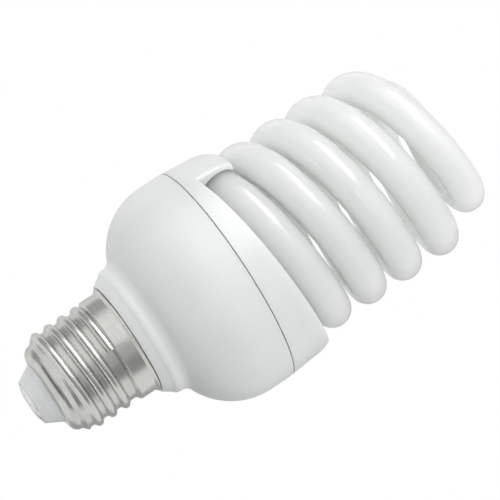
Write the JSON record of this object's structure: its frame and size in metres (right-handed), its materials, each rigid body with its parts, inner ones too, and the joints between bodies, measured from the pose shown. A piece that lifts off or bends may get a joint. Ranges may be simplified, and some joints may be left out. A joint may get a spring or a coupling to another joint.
{
  "type": "spiral energy saving bulb",
  "caption": "Compact fluorescent lamp: a white glass tube wound as a double coil stands on a round plastic housing with a threaded metal screw cap.",
  "frame": {"origin": "tip of the centre contact, on the lamp's axis", "axes": "+Z from the cap to the tube along the lamp's axis; -Y is the side the picture looks at, with the mouth that the first arm of the coil leaves at its left"},
  "size_m": [0.0558, 0.0558, 0.1161],
  "materials": {
    "contact_metal": "nickel-plated and worn bright",
    "cap_metal": "nickel-plated sheet, satin with fine turning lines",
    "insulator": "moulded, smooth",
    "housing_plastic": "moulded white plastic, satin",
    "lamp_glass": "glass tube coated white inside, glossy",
    "cement": "dull white cement",
    "capacitor_sleeve": "shrunk plastic sleeve",
    "ferrite": "dull dark ferrite",
    "black_plastic": "moulded epoxy",
    "copper_wire": "enamelled copper wire",
    "resistor_coat": "lacquer over ceramic",
    "blue_coat": "glass bead in blue lacquer",
    "film_coat": "dipped epoxy",
    "thermistor_coat": "dipped epoxy over ceramic",
    "tinned_metal": "tinned wire",
    "red_sleeve": "insulated wire",
    "blue_sleeve": "insulated wire",
    "board": "paper laminate board"
  },
  "bodies": {
    "root": {"centre_contact": "contact_metal", "cap_insulator": "insulator", "screw_shell": "cap_metal", "lower_housing": "housing_plastic", "upper_cover": "housing_plastic", "spiral_tube": "lamp_glass", "tube_cement_1": "cement", "tube_cement_2": "cement", "electrolytic_capacitor": "capacitor_sleeve", "choke_core_lower": "ferrite", "choke_core_upper": "ferrite", "choke_bobbin": "black_plastic", "choke_winding": "copper_wire", "filter_choke_core": "ferrite", "filter_choke_winding": "copper_wire", "feedback_ring": "ferrite", "feedback_winding_1": "copper_wire", "feedback_winding_2": "copper_wire", "feedback_winding_3": "copper_wire", "transistor_1": "black_plastic", "transistor_2": "black_plastic", "rectifier_diode_1": "black_plastic", "rectifier_diode_2": "black_plastic", "rectifier_diode_3": "black_plastic", "rectifier_diode_4": "black_plastic", "fuse_resistor": "resistor_coat", "trigger_diode": "blue_coat", "resistor_1": "resistor_coat", "resistor_2": "resistor_coat", "resonant_capacitor": "film_coat", "coupling_capacitor": "film_coat", "thermistor": "thermistor_coat", "wrap_pin_1": "tinned_metal", "wrap_pin_2": "tinned_metal", "wrap_pin_3": "tinned_metal", "wrap_pin_4": "tinned_metal", "electrode_lead_1": "tinned_metal", "electrode_lead_2": "tinned_metal", "electrode_lead_3": "tinned_metal", "electrode_lead_4": "tinned_metal", "live_wire": "red_sleeve", "neutral_wire": "blue_sleeve", "circuit_board": "board"}
  },
  "joints": []
}
